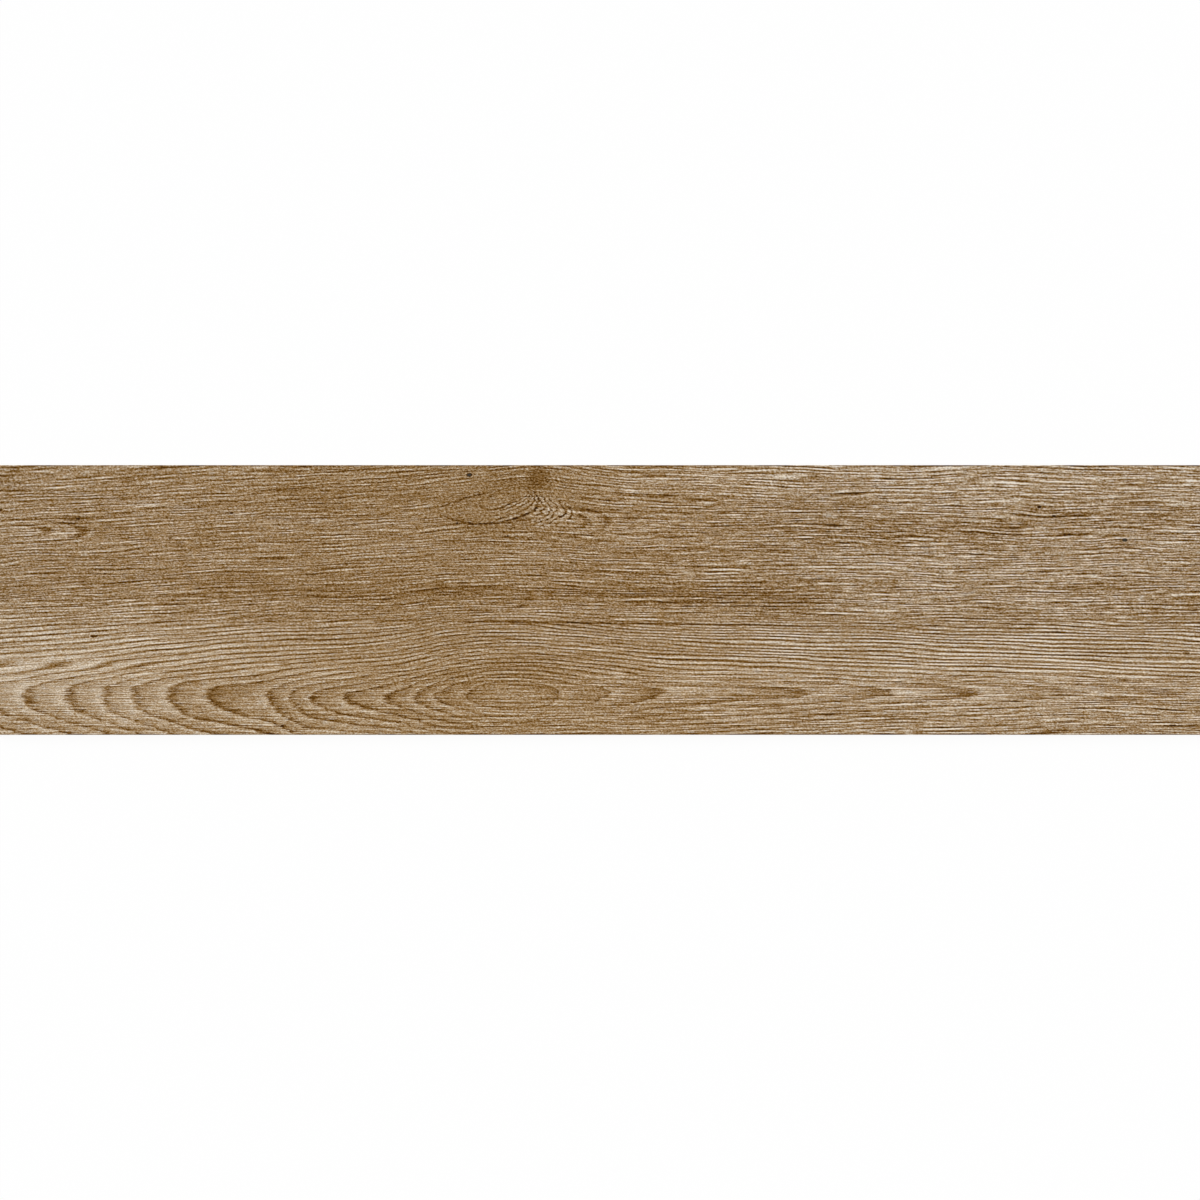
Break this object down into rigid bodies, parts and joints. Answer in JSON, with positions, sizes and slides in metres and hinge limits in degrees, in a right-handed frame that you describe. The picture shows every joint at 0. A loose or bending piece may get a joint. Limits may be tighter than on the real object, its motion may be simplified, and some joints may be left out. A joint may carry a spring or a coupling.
{
  "type": "wood look porcelain plank tile",
  "caption": "Long rectangular porcelain floor plank with a matte oak-grain printed and textured face, ground square sides with a micro-bevel, and a ribbed back that keys into tile adhesive.",
  "frame": {"origin": "centre of the bedding plane, the level of the rib tops on the back", "axes": "+X along the plank's length, +Y across its width, +Z out of the printed face"},
  "size_m": [0.9, 0.202, 0.0095],
  "materials": {
    "printed_porcelain": "matte"
  },
  "bodies": {
    "root": {"plank_tile": "printed_porcelain"}
  },
  "joints": []
}
